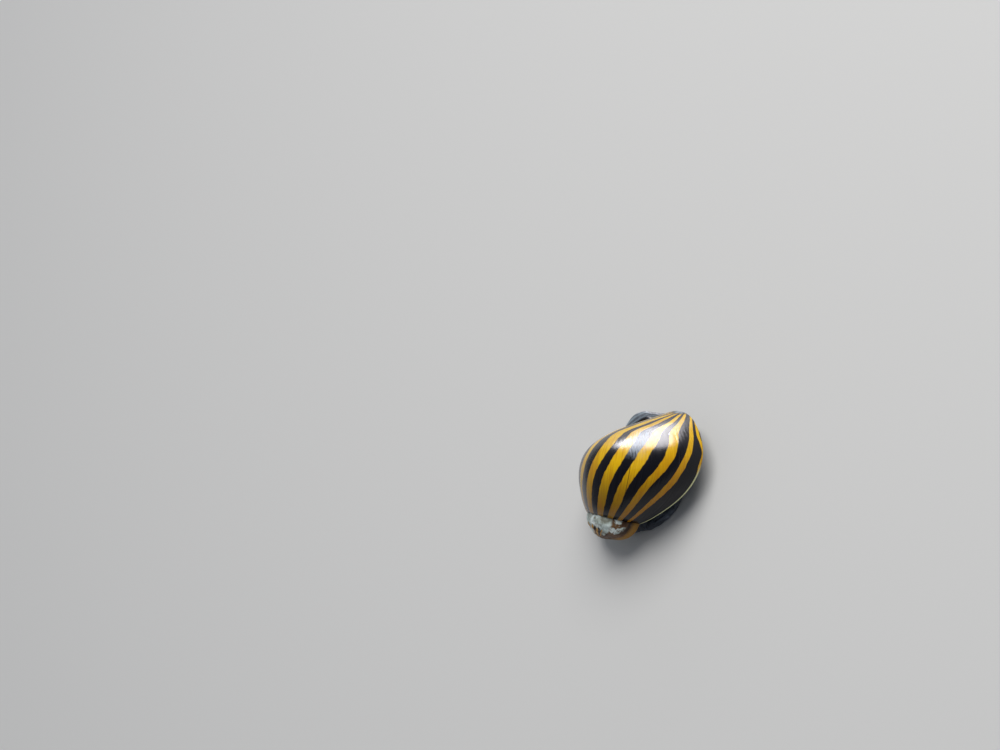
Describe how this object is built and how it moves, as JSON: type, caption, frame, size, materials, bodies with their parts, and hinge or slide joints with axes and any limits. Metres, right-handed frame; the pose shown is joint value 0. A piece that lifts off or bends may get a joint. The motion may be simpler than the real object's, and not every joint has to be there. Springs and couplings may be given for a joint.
{
  "type": "nerite snail model",
  "caption": "Still life-size nerite snail: smooth domed shell with dark and golden stripes, resting on the flat sole of its broad foot.",
  "frame": {"origin": "middle of the foot's flat sole, on the floor", "axes": "head towards -Y, the animal's left towards +X, up +Z out of the sole"},
  "size_m": [0.0207, 0.0198, 0.0115],
  "materials": {
    "shell_striped": "gloss",
    "shell_eroded": "matt, worn",
    "shell_inner": "satin",
    "operculum_lid": "satin, finely grained",
    "skin": "wet, soft",
    "eye": "gloss"
  },
  "bodies": {
    "root": {"shell_body_whorl": "shell_striped", "shell_spire": "shell_eroded", "columellar_deck": "shell_inner", "operculum": "operculum_lid", "mantle": "skin", "body_stalk": "skin", "foot": "skin", "head": "skin", "feeler_left": "skin", "feeler_right": "skin", "eye_stalk_left": "skin", "eye_stalk_right": "skin", "eye_left": "eye", "eye_right": "eye"}
  },
  "joints": []
}
